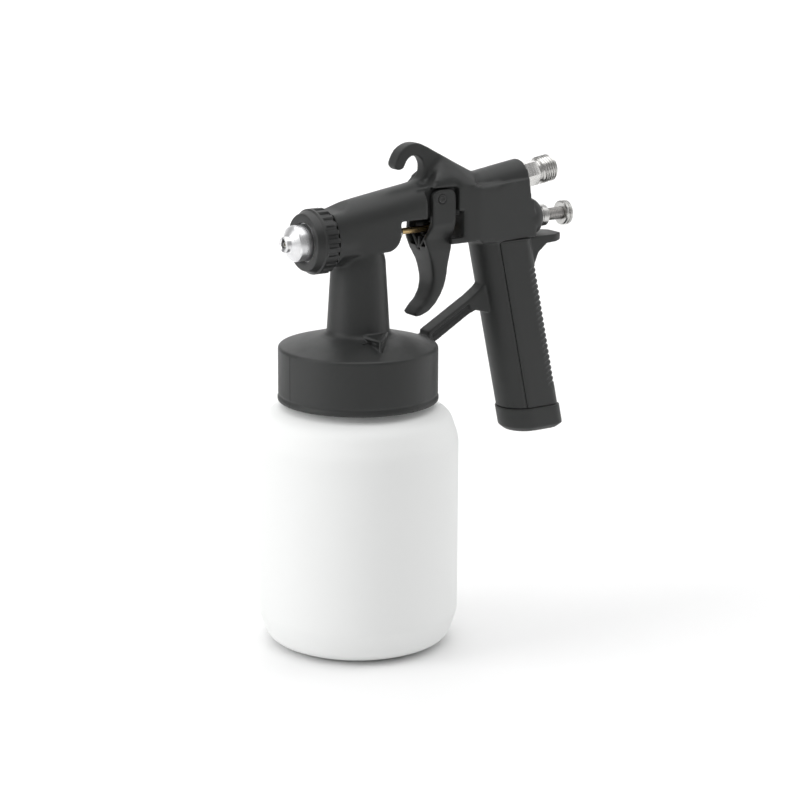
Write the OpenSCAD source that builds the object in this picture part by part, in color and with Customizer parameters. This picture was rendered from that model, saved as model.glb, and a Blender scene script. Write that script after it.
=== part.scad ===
// Siphon-cup paint spray gun.
// Origin: centre of the cup's base. +Z up, the spray leaves along -X, the hose end points to +X.

/* [Cup and lid] */
// Outer radius of the cup's wall
cup_r = 47; // [45:0.5:48]
// Height of the cup's shoulder above its base
shoulder_z = 114; // [112:0.5:114]
// Wall thickness of the cup
cup_wall = 2.2; // [1.8:0.1:2.6]
// Height of the lid's lower edge above the cup's base
lid_z = 117; // [117:0.5:118]
// Outer radius of the lid's skirt
lid_r = 37.2; // [36.5:0.1:38]
// Height of the lid's skirt
lid_h = 25.6; // [25:0.1:26]

/* [Barrel] */
// Height of the needle's axis above the cup's base
needle_z = 193.4; // [193.4:0.1:193.6]
// Half the width of the barrel
barrel_half = 11.5; // [11:0.1:11.8]
// Rise of the barrel's top line towards the rear, in degrees
top_tilt = 8.8; // [8:0.1:9.2]
// Outer radius of the retaining ring over its ribs
ring_r = 15; // [14.6:0.1:15.4]
// Number of ribs round the retaining ring
ring_ribs = 22; // [18:1:26]

/* [Handle] */
// Lean of the handle from the vertical, in degrees
handle_tilt = 12.3; // [12:0.1:12.6]
// Width of the handle from side to side
handle_w = 22.4; // [21:0.1:23]
// Depth of the handle from front to rear
handle_d = 28.6; // [28:0.1:29]
// Number of grip grooves down the rear of the handle
grip_grooves = 21; // [10:1:22]
// Distance between grip grooves
grip_pitch = 2.8; // [2.6:0.1:2.9]

/* [Trigger and needle] */
// Height of the trigger's pivot above the cup's base
pivot_z = 208.7; // [208.5:0.1:208.9]
// Radius of each pivot pin
pivot_r = 2.1; // [2:0.05:2.2]
// Radius of the needle
needle_r = 1.5; // [1.4:0.05:1.55]

/* [Fittings] */
// Major radius of the hose thread, a G1/4 pipe thread
hose_thread_r = 6.58; // [6.58:0.01:6.58]
// Length of the hose thread
hose_thread_l = 7.4; // [7:0.1:8]
// Radius of the adjuster's knob
knob_r = 6; // [5.5:0.1:6.2]

/* [Hidden] */
$fn = 64;
fit = 0.05;         // radial clearance of a running fit
eps = 0.01;

// Cup and lid
neck_r = 31.6;
neck_top = 134;
base_round = 14;
shoulder_round = 15;
gasket_t = 2;
lid_top = lid_z + lid_h;
ceiling_z = neck_top + gasket_t;
lid_bore_r = 33.4;
stem_r0 = 14.6;     // stem radius at the lid
stem_r1 = 12.6;     // stem radius at the barrel
siphon_r = 4;

// Barrel
front_x = -30;      // front face of the retaining ring
ring_l = 11.5;
block_rear = 16.5;
block_bottom = 186.6;
under_z = 200;      // underside of the barrel behind the block
cheek_gap_x = 31;   // rear end of the full-width barrel
top_z0 = 211.6;     // barrel's top line at x = 0
neck_half = 8;
housing_x = 51.2;   // front wall of the rear housing
pocket_x = 48.2;    // rear wall of the pocket beside the trigger's cheeks
housing_end = 102.4;
housing_r = 9.5;
lip_z = 187;
split_z = 185;      // top of the handle
spring_r = 5.2;
spring_x0 = 56.5;
tail_x = 81;        // rear face of the needle's head, where the spring starts
spring_end = 97;    // front face of the adjuster's bush

// Air passage and inlet
inlet_tilt = 8.5;
inlet_x = 91.4;     // where the fitting leaves the body
inlet_z = 213.5;
inlet_shank_r = 5;
inlet_shank_l = 10;
air_r = 2.6;
air_tilt = 6.8;

// Trigger
pivot_x = 39;
cheek_in = 8.5;
cheek_out = 11.4;
push_x = 43.2;      // rear face of the push bar

// Handle
handle_x = 64;      // front of the handle at split_z
handle_wall = 2.6;
seam_d = 8.6;       // front face to the insert's seam
cap_top = 101.5;
cap_bottom = 89.6;

function arc(cx, cz, r, a0, a1, n = 8) =
    [for (i = [0:n]) let (a = a0 + (a1 - a0) * i / n) [cx + r * cos(a), cz + r * sin(a)]];

// A cylinder, or a cone, along the needle's axis from x0 to x1.
module axial(x0, x1, r0, r1 = -1) {
    translate([x0, 0, needle_z]) rotate([0, 90, 0])
        cylinder(h = x1 - x0, r1 = r0, r2 = r1 < 0 ? r0 : r1);
}

// A side view in X and Z, given its width across Y.
module slab(width) {
    translate([0, width / 2, 0]) rotate([90, 0, 0]) linear_extrude(width) children();
}

// Puts its children, built along +Z, on the inlet's sloping axis with z = 0 at the body's rear face.
module at_inlet() {
    translate([inlet_x, 0, inlet_z]) rotate([0, 90 - inlet_tilt, 0]) children();
}

// ---- Gun moulding ----

module hook_outline() {
    hook_x = 29;
    hook_z = 223.3;
    inner_r = 5.25;
    outer_r = 11.2;
    tip_r = (outer_r - inner_r) / 2;
    tip_z = 225.3;
    difference() {
        union() {
            circle_at(hook_x, hook_z, outer_r);
            polygon([[30, 210], [62, 210], [64.5, 217.4], [35.5, 232.6], [30, 230]]);
        }
        circle_at(hook_x, hook_z, inner_r);
        circle_at(hook_x, 221.5, inner_r);
        translate([hook_x - inner_r, 221.5]) square([2 * inner_r, hook_z - 221.5]);
        // mouth, open to the front
        translate([10, 205]) square([hook_x - 10, tip_z - 205]);
    }
    circle_at(hook_x - inner_r - tip_r + 0.2, tip_z, tip_r);
}

module circle_at(x, z, r) {
    translate([x, z]) circle(r);
}

// The barrel's side view, from the ring to the gap in front of the trigger.
module barrel_outline() {
    polygon(concat(
        [[-18.3, 206], [-18.3, 184]],
        arc(-12, block_bottom + 6, 6, -120, -90, 3),
        arc(block_rear - 7.5, block_bottom + 7.5, 7.5, -90, 0, 8),
        [[block_rear, under_z], [cheek_gap_x, under_z], [cheek_gap_x, 217]],
        [[-1, 212]], [[-7, 210.2], [-13, 207]]));
}

// Rounds the barrel's top across its width, along the sloping top line.
module barrel_top_round() {
    translate([0, 0, top_z0]) rotate([0, -top_tilt, 0]) {
        translate([-40, 0, -barrel_half]) rotate([0, 90, 0]) cylinder(h = 100, r = barrel_half);
        translate([-40, -barrel_half, -60]) cube([100, 2 * barrel_half, 60 - barrel_half]);
    }
}

// The barrel's round front, tapering into its flat sides.
module barrel_front() {
    axial(-18.3, -2, 12.8, 11.3);
}

module rear_body() {
    intersection() {
        slab(30) polygon([[housing_x, lip_z], [62, lip_z], [62, split_z], [96, split_z],
            [94, 203], [92.4, 203], [90.7, inlet_z], [64, 212.5], [pocket_x, 215],
            [pocket_x, 202.4], [housing_x, 202.4]]);
        translate([0, 0, 180]) linear_extrude(50)
            polygon([[44, -12.3], [60, -12.3], [96, -9.2], [96, 9.2], [60, 12.3], [44, 12.3]]);
    }
    // sloping upper tube round the air passage
    at_inlet() translate([0, 0, -42]) cylinder(h = 42, r = 8.6);
    // needle spring housing with its rounded rear end
    difference() {
        translate([60, 0, needle_z]) rotate([0, 90, 0]) rotate_extrude()
            polygon(concat([[0, 0], [housing_r, 0]],
                arc(housing_r - 6.5, housing_end - 60 - 6.5, 6.5, 0, 90, 8),
                [[0, housing_end - 60]]));
        translate([50, -20, split_z - 20]) cube([60, 40, 20]);
    }
}

// The wedge that carries the hook down into the barrel's full width.
module hook_root() {
    hull() {
        slab(6.6) polygon([[44, 220], [44, 227.4], [63.5, 217.6], [63, 215]]);
        slab(2 * barrel_half) polygon([[34, 213.9], [34, 214.9], [46, 217.4], [58, 214], [58, 213.2]]);
    }
}

module gun_body() color("dimgray") difference() {
    union() {
        intersection() {
            slab(2 * barrel_half) barrel_outline();
            barrel_top_round();
        }
        // round front and the spigot that takes the retaining ring
        barrel_front();
        axial(-26.5, -18.3, 12.5 - fit);
        slab(6.6) hook_outline();
        hook_root();
        // narrow neck between the trigger's cheeks, with the pivot pins' bores
        translate([cheek_gap_x - 4, -neck_half, under_z])
            cube([housing_x + 4 - cheek_gap_x, 2 * neck_half, 14.5]);
        rear_body();
        // lips either side of the trigger
        for (s = [-1, 1]) translate([44, s * 10.65 - 1.65, lip_z]) cube([9, 3.3, 2.5]);
    }
    // air chamber round the nozzle's seat
    difference() {
        axial(-28.5, -19, 9.5);
        axial(-28.6, -18.9, 5.2);
    }
    axial(-28.5, -23, 9.5);
    axial(-24, -12, 3.4);
    axial(-12.1, 9, 2.6);
    axial(8.9, 17, 3.4);
    translate([0, 0, block_bottom - 1]) cylinder(h = needle_z - block_bottom + 1, r = 2.8);
    // air passage from the inlet to the chamber
    translate([-19, 0, 200.2]) rotate([0, 90 - air_tilt, 0]) cylinder(h = 104, r = air_r);
    at_inlet() translate([0, 0, -inlet_shank_l]) cylinder(h = 12, r = inlet_shank_r);
    // needle's guide, spring chamber and the bush's bore
    axial(housing_x - 1, spring_x0 + 1, needle_r + fit);
    axial(spring_x0, housing_end + 1, spring_r);
    for (s = [-1, 1]) translate([pivot_x, s * 3.5, pivot_z]) rotate([s * -90, 0, 0])
        cylinder(h = 10, r = pivot_r);
}

// ---- Lid and stem ----

module cup_lid() color("dimgray") difference() {
    union() {
        rotate_extrude() polygon(concat(
            [[0, lid_z], [lid_r + 0.3, lid_z], [lid_r + 0.3, lid_z + 2.3], [lid_r, lid_z + 2.6]],
            arc(lid_r - 1.2, lid_top - 1.2, 1.2, 0, 80, 5),
            [[26, 145.4], [18, 147.4], [15.6, 148.4], [stem_r0, 150], [stem_r1, block_bottom - 4],
                [stem_r1 - 1, block_bottom], [0, block_bottom]]));
        vent_lug();
    }
    translate([0, 0, lid_z - 1]) cylinder(h = ceiling_z - lid_z + 1, r = lid_bore_r);
    translate([0, 0, ceiling_z - eps]) cylinder(h = 6, r = 27);
    translate([0, 0, ceiling_z]) cylinder(h = 26, r = 4.4);
    translate([0, 0, ceiling_z]) cylinder(h = 60, r = 2.8);   // paint's way up to the nozzle
    // round front of the barrel, which dips into the stem
    barrel_front();
    axial(front_x, -18, 13);
}

// Hood over the cup's vent hole, with its slot facing forwards.
module vent_lug() {
    difference() {
        translate([0, 0, 144.4]) linear_extrude(5.6) polygon([[-5, -12], [-6.2, -28], [8, -12]]);
        translate([-9, -26, 147.2]) rotate([0, 0, -4]) cube([6.5, 12, 1.9]);
    }
}

// ---- Handle ----

// The handle's cross-section seen along its axis: round front at u = 0, flatter rear.
module handle_section(grow = 0) {
    half = handle_w / 2 + grow;
    rear_round = 6;
    rear = handle_d + grow;
    circle_at(handle_w / 2, 0, half);
    translate([handle_w / 2, -half]) square([rear - rear_round - handle_w / 2, 2 * half]);
    for (s = [-1, 1]) circle_at(rear - rear_round, s * (half - rear_round), rear_round);
    translate([rear - rear_round, rear_round - half]) square([rear_round, 2 * (half - rear_round)]);
}

// Puts its children, built along +Z, on the handle's leaning axis; z = 0 is its top.
module at_handle() {
    translate([handle_x, 0, split_z]) rotate([0, 180 - handle_tilt, 0]) mirror([1, 0, 0]) children();
}

// The whole handle between two heights; grow makes it larger all round.
module handle_bar(z0, z1, grow = 0) {
    intersection() {
        at_handle() translate([0, 0, -30]) linear_extrude(160) handle_section(grow);
        translate([0, -30, z0]) cube([200, 60, z1 - z0]);
    }
}

// Everything in front of the seam between the handle's two halves.
module before_seam(shift = 0) {
    at_handle() translate([-40, -30, -40]) cube([40 + seam_d + shift, 60, 180]);
}

module handle_front() color("dimgray") difference() {
    intersection() {
        handle_bar(cap_top, split_z);
        before_seam();
    }
    handle_bar(cap_top - 1, split_z - 3, -handle_wall);
}

module spur() {
    intersection() {
        slab(16) polygon([[88, 172], [88, split_z], [113, split_z], [114.6, 183.6], [113, 181.6],
            [103, 181], [98, 177], [96, 172]]);
        translate([0, 0, 170]) linear_extrude(20) {
            translate([88, -8]) square([18, 16]);
            circle_at(106.6, 0, 8);
        }
    }
}

module handle_insert() color("dimgray") difference() {
    union() {
        difference() {
            handle_bar(cap_top, split_z);
            before_seam();
        }
        spur();
    }
    handle_bar(cap_top - 1, split_z - 3, -handle_wall);
    at_handle() for (i = [0:grip_grooves - 1])
        translate([handle_d - 0.8, -20, 23 + i * grip_pitch]) cube([3, 40, 1.1]);
}

module handle_end_cap() color("dimgray") difference() {
    hull() {
        handle_bar(cap_bottom + 2.2, cap_top, 0.6);
        handle_bar(cap_bottom, cap_bottom + 1, -1.6);
    }
    handle_bar(cap_bottom + handle_wall, cap_top + 1, -handle_wall);
}

module handle_brace() color("dimgray") difference() {
    slab(8) polygon([[36.8, 138.4], [41.5, 139.9], [60.1, 150.5], [64.2, 152], [71.9, 150],
        [68.9, 164], [67, 162], [62, 158.6], [36.6, 144.4]]);
    for (s = [-1, 1]) translate([0, s * 4, 0]) slab(2.6)
        polygon([[40, 141], [61.4, 152.9], [60.2, 155.5], [38.8, 143.4]]);
    handle_bar(100, 200);
    cylinder(h = 200, r = lid_r);
}

// ---- Spray head ----

module retaining_ring() color("dimgray") difference() {
    union() {
        axial(front_x, front_x + 1.2, ring_r - 2, ring_r - 0.9);
        axial(front_x + 1.2, front_x + 4, ring_r - 0.9, ring_r - 0.6);
        axial(front_x + 4, front_x + ring_l, ring_r);
    }
    axial(front_x - 1, front_x + 2, 9);
    axial(front_x + 1.6, front_x + ring_l + 1, 12.5);
    for (i = [0:ring_ribs - 1]) translate([0, 0, needle_z]) rotate([i * 360 / ring_ribs, 0, 0])
        translate([front_x + 5, -0.9, ring_r - 1.1]) cube([ring_l, 1.8, 3]);
}

module air_cap() color("silver") difference() {
    union() {
        axial(front_x + 1.75, front_x + 3.4, 11);
        axial(-35.2, front_x + 1.8, 8.3);
        axial(-38.2, -35.2, 3.9, 8.1);
        axial(-40.4, -38.2, 3.65);
    }
    axial(-35.2, front_x + 4, 6.6);
    axial(-37.2, -35.19, 2.4, 6.6);
    axial(-41, -36, 2.1);
    translate([-41, -1.2, needle_z - 3.1]) cube([1.6, 2.4, 6.2]);
}

module fluid_nozzle() color("silver") difference() {
    union() {
        axial(-39.6, -37.6, 1.3, 1.6);
        axial(-37.6, -34.6, 1.6, 3.2);
        axial(-34.6, -27, 3.2);
        translate([-27.5, 0, needle_z]) rotate([0, 90, 0]) cylinder(h = 3.5, r = 5.1, $fn = 6);
        axial(-24, -13, 3.4);
    }
    axial(-34.7, -12, needle_r + 0.5);
    axial(-38.1, -34.6, 0.9, needle_r + 0.5);
    axial(-40, -38, 0.75);
}

module nozzle_seal() color("ivory") difference() {
    axial(-24, -23, 5.1);
    axial(-25, -22, 3.4);
}

// ---- Needle group ----

module needle() color("goldenrod") {
    axial(-38.6, -36, 0.35, needle_r);
    axial(-36, 80, needle_r);
    // head that the spring presses on
    axial(tail_x - 3, tail_x, 3.9);
}

module needle_collar() color("silver") difference() {
    axial(push_x, push_x + 4.6, 3.8);
    axial(push_x - 1, push_x + 6, needle_r);
}

module needle_packing() color("ivory") difference() {
    axial(9, 12.5, 3.35);
    axial(8, 14, needle_r + fit);
}

module packing_nut() color("silver") difference() {
    union() {
        axial(12.5, block_rear, 3.35);
        axial(block_rear, 22.4, 4.1);
    }
    axial(12, 23, needle_r + fit);
}

// Closed rings at the spring's pitch.
module needle_spring() color("silver") {
    coils = 8;
    wire_r = 0.45;
    for (i = [0:coils - 1])
        translate([tail_x + wire_r + i * (spring_end - tail_x - 2 * wire_r) / (coils - 1), 0, needle_z])
            rotate([0, 90, 0]) rotate_extrude() circle_at(4.1, 0, wire_r);
}

module adjuster_bush() color("silver") difference() {
    union() {
        axial(spring_end, housing_end, spring_r);
        axial(housing_end, 106.2, 5.2);
        axial(106.2, 106.9, 5.2, 4.6);
    }
    axial(spring_end - 1, 108, 3 + fit);
}

module adjuster_stud() color("gray") {
    axial(86.5, 117.5, 3);
}

module adjuster_knob() color("silver") difference() {
    union() {
        axial(116.4, 117.6, knob_r - 0.3, knob_r);
        axial(117.6, 118.6, knob_r - 0.8);
        axial(118.6, 120.4, knob_r);
    }
    axial(116, 117.6, 3 + fit);
}

// ---- Trigger ----

// The trigger's side view: cheeks above, a curved finger blade below.
module trigger_outline() {
    polygon(concat(arc(38, 208.9, 4, 180, 90, 5), arc(42.8, 208.9, 4, 90, 0, 5),
        [[46.8, 190], [46.1, 180], [45.7, 172], [45, 167], [43.2, 162.4], [40.6, 158.4], [36.8, 155], [32.4, 153.2], [29.6, 152.8], [28.4, 154.4],
        [30.4, 157], [34.3, 160.5], [36.6, 164], [37.7, 168], [37.6, 172], [36.4, 178],
        [33.8, 184], [31.5, 189.6], [34, 196]]));
}

// Half a front view, mirrored by the caller: wide at the cheeks, narrow at the finger's tip.
module mirrored_front(points) {
    translate([20, 0, 0]) rotate([90, 0, 90]) linear_extrude(40)
        polygon(concat(points, [for (i = [len(points) - 1:-1:0]) [-points[i][0], points[i][1]]]));
}

module trigger() color("dimgray") difference() {
    intersection() {
        slab(2 * cheek_out) trigger_outline();
        mirrored_front([[cheek_out, 216], [cheek_out, 196.5], [8.65, 189.9], [8.5, 184], [7, 170],
            [5, 152]]);
    }
    // space between the cheeks, which takes the push bar
    difference() {
        intersection() {
            mirrored_front([[cheek_in, 217], [cheek_in, 197.4], [6.3, 190.6], [6.2, 184.5]]);
            slab(40) polygon([[20, 220], [20, 195], [35.5, 184.5], [60, 184.5], [60, 220]]);
        }
        translate([push_x - 3, cheek_in + eps, needle_z]) rotate([90, 0, 0])
            cylinder(h = 2 * cheek_in + 2 * eps, r = 3);
        translate([push_x - 6.2, -cheek_in, 184]) cube([3.4, 2 * cheek_in, 9]);
    }
    // slot for the needle, open upwards
    translate([20, -1.9, needle_z - 3]) cube([30, 3.8, 8]);
    // V notch in the front web
    translate([28, 0, 0]) rotate([90, 0, 90]) linear_extrude(9)
        polygon([[-6.4, 192], [0, 183.6], [6.4, 192]]);
    // hollow behind the finger's front face, open to the rear
    slab(8.6) polygon([[40.5, 185], [40.9, 178], [41, 170], [39.6, 163], [50, 163], [50, 185]]);
    for (s = [-1, 1]) translate([pivot_x, s * 14, pivot_z]) rotate([s * 90, 0, 0])
        cylinder(h = 6, r = pivot_r + fit);
}

module trigger_pins() color("gray") {
    for (s = [-1, 1]) translate([pivot_x, s * 3.5, pivot_z]) rotate([s * -90, 0, 0])
        cylinder(h = cheek_out - 3.5 + 0.3, r = pivot_r);
}

// ---- Air inlet ----

module air_inlet() color("silver") at_inlet() difference() {
    union() {
        translate([0, 0, -inlet_shank_l]) cylinder(h = inlet_shank_l + 1, r = inlet_shank_r);
        translate([0, 0, 1]) cylinder(h = 7.6, r = 6.6, $fn = 6);
        translate([0, 0, 8.6]) cylinder(h = 1.8, r = 5.6);
        translate([0, 0, 10.4]) cylinder(h = hose_thread_l, r = hose_thread_r);
        translate([0, 0, 10.4 + hose_thread_l]) cylinder(h = 0.8, r1 = hose_thread_r, r2 = 5.7);
    }
    translate([0, 0, -inlet_shank_l - 1]) cylinder(h = 40, r = 3);
}

module inlet_seal() color("ivory") at_inlet() difference() {
    cylinder(h = 1, r = 6.4);
    translate([0, 0, -1]) cylinder(h = 3, r = inlet_shank_r);
}

// ---- Siphon and cup ----

module siphon_nipple() color("goldenrod") difference() {
    union() {
        translate([0, 0, 128]) cylinder(h = 14, r = 2.55);
        translate([0, 0, 142]) cylinder(h = 20, r = 4.4);
    }
    translate([0, 0, 120]) cylinder(h = 50, r = 1.7);
}

module siphon_tube() color("ivory") difference() {
    translate([0, 0, 5]) cylinder(h = 137, r = siphon_r);
    translate([0, 0, 4]) cylinder(h = 139, r = 2.6);
    // slanted foot
    translate([0, 0, 8]) rotate([0, -30, 0]) translate([-20, -20, -20]) cube([40, 40, 20]);
}

module cup_gasket() color("ivory") difference() {
    translate([0, 0, neck_top]) cylinder(h = gasket_t, r = 33);
    translate([0, 0, neck_top - 1]) cylinder(h = gasket_t + 2, r = 28);
}

module paint_cup() color("white") rotate_extrude() difference() {
    polygon(concat(
        [[0, 0], [cup_r - base_round, 0]],
        arc(cup_r - base_round, base_round, base_round, -90, 0, 10),
        arc(cup_r - shoulder_round, shoulder_z - shoulder_round, shoulder_round, 0, 70, 10),
        [[neck_r + 0.8, shoulder_z + 1.8], [neck_r, shoulder_z + 2.6], [neck_r, 119],
            [32.8, 119.6], [32.8, 121.4], [neck_r, 122], [neck_r, 126], [32.8, 126.6], [32.8, 128.4], [neck_r, 129], [neck_r, neck_top],
            [0, neck_top]]));
    polygon(concat(
        [[0, cup_wall], [cup_r - base_round, cup_wall]],
        arc(cup_r - base_round, base_round, base_round - cup_wall, -90, 0, 10),
        arc(cup_r - shoulder_round, shoulder_z - shoulder_round, shoulder_round - cup_wall, 0, 90, 10),
        [[neck_r - cup_wall, shoulder_z - cup_wall], [neck_r - cup_wall, neck_top + 1],
            [0, neck_top + 1]]));
}

gun_body();
cup_lid();
handle_front();
handle_brace();
handle_insert();
handle_end_cap();
retaining_ring();
air_cap();
fluid_nozzle();
nozzle_seal();
needle();
needle_collar();
needle_packing();
packing_nut();
needle_spring();
adjuster_bush();
adjuster_stud();
adjuster_knob();
trigger();
trigger_pins();
air_inlet();
inlet_seal();
siphon_nipple();
siphon_tube();
cup_gasket();
paint_cup();
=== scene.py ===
import math

import bmesh
import bpy
from bpy.props import FloatProperty, FloatVectorProperty, IntProperty, PointerProperty
from mathutils import Matrix, Vector


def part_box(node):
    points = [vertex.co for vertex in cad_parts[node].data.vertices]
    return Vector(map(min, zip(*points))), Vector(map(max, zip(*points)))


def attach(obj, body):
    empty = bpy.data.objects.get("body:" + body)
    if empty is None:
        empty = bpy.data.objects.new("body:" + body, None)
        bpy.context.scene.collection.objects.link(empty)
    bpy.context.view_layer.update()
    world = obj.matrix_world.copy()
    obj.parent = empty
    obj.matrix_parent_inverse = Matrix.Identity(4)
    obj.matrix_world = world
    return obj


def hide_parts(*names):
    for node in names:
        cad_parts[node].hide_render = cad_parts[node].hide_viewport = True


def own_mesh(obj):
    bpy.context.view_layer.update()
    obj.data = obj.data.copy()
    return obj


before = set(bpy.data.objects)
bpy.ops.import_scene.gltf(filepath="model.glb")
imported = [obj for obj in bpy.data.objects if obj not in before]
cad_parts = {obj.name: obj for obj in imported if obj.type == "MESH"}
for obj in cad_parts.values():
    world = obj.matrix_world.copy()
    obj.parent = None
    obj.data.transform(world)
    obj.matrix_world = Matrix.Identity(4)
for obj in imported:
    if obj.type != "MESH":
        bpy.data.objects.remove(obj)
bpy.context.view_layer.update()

bl_info = {
    "name": "Siphon-cup spray gun",
    "version": (1, 0, 0),
    "blender": (4, 5, 0),
    "location": "View3D > Sidebar > Spray gun",
    "description": "Builds a paint spray gun's visible pieces around its packed frame",
    "category": "Object",
}

MM = 0.001
ARC_STEPS = 5


# ---- Places taken from the frame, in millimetres ----

def box(node):
    low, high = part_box(node)
    return low / MM, high / MM


def along_needle(node):
    """Front end, rear end and radius of a node that lies on the needle's axis."""
    low, high = box(node)
    return low.x, high.x, (high.y - low.y) / 2


NEEDLE_Z = sum(corner.z for corner in box("retaining_ring")) / 2
ON_NEEDLE = Matrix.Translation((0, 0, NEEDLE_Z)) @ Matrix.Rotation(math.radians(90), 4, "Y")
ON_CUP = Matrix.Identity(4)

INLET_TILT = math.radians(8.5)
INLET_FOOT = Vector((91.4, 0, 213.5))
ON_INLET = Matrix.Translation(INLET_FOOT) @ Matrix.Rotation(math.radians(90) - INLET_TILT, 4, "Y")

HANDLE_TILT = math.radians(12.3)
HANDLE_TOP = Vector((64, 0, 185))
HANDLE_DOWN = Vector((math.sin(HANDLE_TILT), 0, -math.cos(HANDLE_TILT)))
HANDLE_REAR = Vector((math.cos(HANDLE_TILT), 0, math.sin(HANDLE_TILT)))
HANDLE_DEPTH = 28.6


# ---- Mesh helpers; all of them work in millimetres ----

def rounded(outline, closed):
    """The line through (along, radius, fillet) corners, with an arc at each that has a fillet."""
    line = []
    for i, corner in enumerate(outline):
        at = Vector(corner[:2])
        fillet = corner[2] if len(corner) > 2 else 0
        if fillet == 0 or (not closed and i in (0, len(outline) - 1)):
            line.append(at)
            continue
        back = Vector(outline[i - 1][:2]) - at
        ahead = Vector(outline[(i + 1) % len(outline)][:2]) - at
        half = back.angle(ahead) / 2
        reach = min(fillet / math.tan(half), 0.49 * back.length, 0.49 * ahead.length)
        radius = reach * math.tan(half)
        middle = (back.normalized() + ahead.normalized()).normalized()
        centre = at + middle * (radius / math.sin(half))
        start = at + back.normalized() * reach - centre
        end = at + ahead.normalized() * reach - centre
        for step in range(ARC_STEPS + 1):
            line.append(centre + start.lerp(end, step / ARC_STEPS).normalized() * radius)
    return line


def lathe(outline, place=ON_NEEDLE, steps=96):
    """A solid turned from (along, radius, fillet) corners. An outline off the axis closes."""
    closed = outline[0][1] > 0
    bm = bmesh.new()
    verts = [bm.verts.new((radius, 0, along)) for along, radius in rounded(outline, closed)]
    edges = [bm.edges.new(pair) for pair in zip(verts, verts[1:])]
    if closed:
        edges.append(bm.edges.new((verts[-1], verts[0])))
    bmesh.ops.spin(bm, geom=verts + edges, cent=(0, 0, 0), axis=(0, 0, 1),
                   angle=2 * math.pi, steps=steps, use_merge=True)
    return settle(bm, place)


def settle(bm, place=ON_CUP):
    """Merges doubles, turns faces outwards and puts a new solid in its place."""
    bmesh.ops.remove_doubles(bm, verts=bm.verts, dist=0.001)
    bmesh.ops.dissolve_degenerate(bm, edges=bm.edges, dist=0.0005)
    bmesh.ops.recalc_face_normals(bm, faces=bm.faces)
    bmesh.ops.transform(bm, matrix=place, verts=bm.verts)
    return bm


def prism(sides, radius, start, length, place=ON_NEEDLE, bevel=0.35):
    """A bar with flat sides, such as a hexagon, with broken edges."""
    bm = bmesh.new()
    bmesh.ops.create_cone(bm, cap_ends=True, segments=sides, radius1=radius, radius2=radius,
                          depth=length)
    bmesh.ops.translate(bm, vec=(0, 0, start + length / 2), verts=bm.verts)
    ends = [e for e in bm.edges if abs(e.verts[0].co.z - e.verts[1].co.z) < length / 2]
    bmesh.ops.bevel(bm, geom=ends, offset=bevel, offset_type="OFFSET", affect="EDGES",
                    segments=3, profile=0.5, material=-1)
    return settle(bm, place)


def threaded(major, depth, pitch, start, length, place=ON_NEEDLE, steps=48, handed=1):
    """A closed threaded rod, cut flat and chamfered at both ends."""
    turns = math.ceil(length / pitch) + 2
    bm = bmesh.new()
    minor = major - depth
    tooth = [(0, minor), (0.14, minor), (0.45, major), (0.58, major), (0.9, minor), (1, minor)]
    verts = [bm.verts.new((radius, 0, share * pitch - pitch)) for share, radius in tooth]
    edges = [bm.edges.new(pair) for pair in zip(verts, verts[1:])]
    bmesh.ops.spin(bm, geom=verts + edges, cent=(0, 0, 0), axis=(0, 0, 1),
                   angle=2 * math.pi * turns * handed, steps=steps * turns,
                   dvec=(0, 0, pitch / steps))
    bmesh.ops.remove_doubles(bm, verts=bm.verts, dist=0.001)
    for height, outward in ((0, -1), (length, 1)):
        bmesh.ops.bisect_plane(bm, geom=bm.verts[:] + bm.edges[:] + bm.faces[:],
                               plane_co=(0, 0, height), plane_no=(0, 0, outward),
                               clear_outer=True)
    open_edges = [e for e in bm.edges if e.is_boundary]
    bmesh.ops.holes_fill(bm, edges=open_edges, sides=0)
    chamfer = 1.2 * depth
    for v in bm.verts:
        to_end = min(v.co.z, length - v.co.z)
        radius = math.hypot(v.co.x, v.co.y)
        allowed = minor + to_end * depth / chamfer
        if radius > allowed:
            v.co.xy *= allowed / radius
    bmesh.ops.translate(bm, vec=(0, 0, start), verts=bm.verts)
    return settle(bm, place)


def flute(bm, place, count, depth, share, x0, x1, inner):
    """Sinks flutes into the rim of a turned solid between two places along its axis."""
    wall = 0.1
    back = place.inverted()
    for v in bm.verts:
        at = back @ v.co
        radius = math.hypot(at.x, at.y)
        if radius < inner or not x0 <= at.z <= x1:
            continue
        phase = (math.atan2(at.y, at.x) * count / (2 * math.pi)) % 1
        sunk = min(1.0, max(0.0, (share / 2 - abs(phase - 0.5)) / wall))
        at.xy *= 1 - depth * sunk / radius
        v.co = place @ at


def join(*parts):
    """Puts several solids into one."""
    whole = bmesh.new()
    for part in parts:
        mesh = bpy.data.meshes.new("part")
        part.to_mesh(mesh)
        part.free()
        whole.from_mesh(mesh)
        bpy.data.meshes.remove(mesh)
    return whole


def object_of(name, bm):
    """A plain object from a solid, in metres."""
    bmesh.ops.scale(bm, vec=(MM, MM, MM), verts=bm.verts)
    mesh = bpy.data.meshes.new(name)
    bm.to_mesh(mesh)
    bm.free()
    made = bpy.data.objects.new(name, mesh)
    bpy.context.scene.collection.objects.link(made)
    return made


def apply_modifiers(made):
    bpy.context.view_layer.update()
    graph = bpy.context.evaluated_depsgraph_get()
    finished = bpy.data.meshes.new_from_object(made.evaluated_get(graph))
    made.modifiers.clear()
    rough = made.data
    made.data = finished
    bpy.data.meshes.remove(rough)
    if not finished.polygons:
        raise RuntimeError(f"{made.name} lost its faces")


def combine(made, solid, operation):
    """Adds or cuts away a solid with an exact boolean."""
    tool = object_of(made.name + "_tool", solid)
    modifier = made.modifiers.new("combine", "BOOLEAN")
    modifier.operation = operation
    modifier.solver = "EXACT"
    modifier.object = tool
    apply_modifiers(made)
    tool_mesh = tool.data
    bpy.data.objects.remove(tool)
    bpy.data.meshes.remove(tool_mesh)
    return made


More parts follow.
